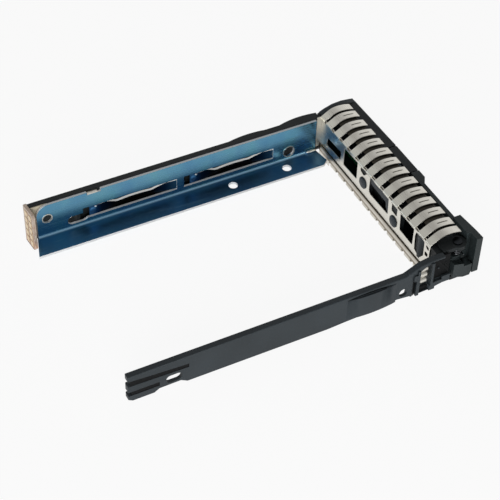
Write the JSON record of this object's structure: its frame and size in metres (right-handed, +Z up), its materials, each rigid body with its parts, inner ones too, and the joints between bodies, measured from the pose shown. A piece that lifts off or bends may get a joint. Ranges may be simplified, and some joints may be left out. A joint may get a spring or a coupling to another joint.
{
  "type": "hot swap drive caddy",
  "caption": "U-shaped carrier for a 2.5-inch server drive: metal rail, plastic arm, shielded bezel, eject lever and button.",
  "frame": {"origin": "under the middle of the whole caddy, on the surface it stands on, with the lever closed", "axes": "+X along the rails towards the bezel and its front, +Y across towards the metal rail, +Z up from the drive's underside"},
  "size_m": [0.118, 0.078, 0.0176],
  "materials": {
    "rail_steel": "folded stainless sheet, bright, with fine rolling lines; it mirrors a blue surround",
    "nickel_steel": "nickel-plated spring steel, satin, warm grey",
    "spring_steel": "spring steel leaf and wire, bright",
    "pin_steel": "turned steel pin, bright",
    "black_plastic": "moulded black polycarbonate blend, fine matt texture",
    "charcoal_plastic": "moulded charcoal plastic, fine matt texture",
    "rivet_plastic": "moulded dark slate nylon, slightly shiny",
    "grille_metal": "perforated steel sheet, dark grey paint",
    "board_copper": "copper-clad circuit board, pinkish beige turning orange at its foot, satin",
    "gold_pad": "gold-plated contact pad, polished",
    "cream_plastic": "moulded cream nylon, matt",
    "flex_film": "amber polyimide film over copper, glossy",
    "green_board": "green solder mask over fibreglass board, satin",
    "lamp_resin": "clear resin lamp body, glossy",
    "clear_plastic": "clear polycarbonate light guide, glossy",
    "lever_plate": "dark grey smooth plastic plate, satin, bare of print"
  },
  "bodies": {
    "carrier": {"metal_rail": "rail_steel", "rail_clip": "nickel_steel", "rail_spring_rear": "spring_steel", "rail_spring_front": "spring_steel", "rail_cover": "black_plastic", "contact_board": "board_copper", "contact_pads": "gold_pad", "contact_holder": "cream_plastic", "flex_circuit": "flex_film", "near_arm": "charcoal_plastic", "ground_spring": "nickel_steel", "shield_upper": "nickel_steel", "shield_lower": "nickel_steel", "shield_rivets": "rivet_plastic", "bezel_frame": "black_plastic", "bezel_face": "black_plastic", "front_grille": "grille_metal", "light_ring": "clear_plastic", "light_board": "green_board", "lamps": "lamp_resin", "board_socket": "cream_plastic", "button_spring": "spring_steel", "spring_seat": "black_plastic", "lever_pin": "pin_steel", "lever_spring": "spring_steel"},
    "lever": {"eject_lever": "black_plastic", "lever_face_plate": "lever_plate"},
    "button": {"eject_button": "black_plastic", "button_lens": "clear_plastic"}
  },
  "joints": [
    {"name": "lever_hinge", "type": "hinge", "parent": "carrier", "child": "lever", "pos_m": [0.05252, -0.0344, 0.0067], "axis": [0, 0, -1], "range_deg": [0, 40], "deforming": ["lever_spring"]},
    {"name": "button_slide", "type": "slide", "parent": "carrier", "child": "button", "axis": [-1, 0, 0], "range_m": [0, 0.0012], "stiffness_N_per_m": 300, "springref_m": -0.002, "deforming": ["button_spring"]}
  ]
}
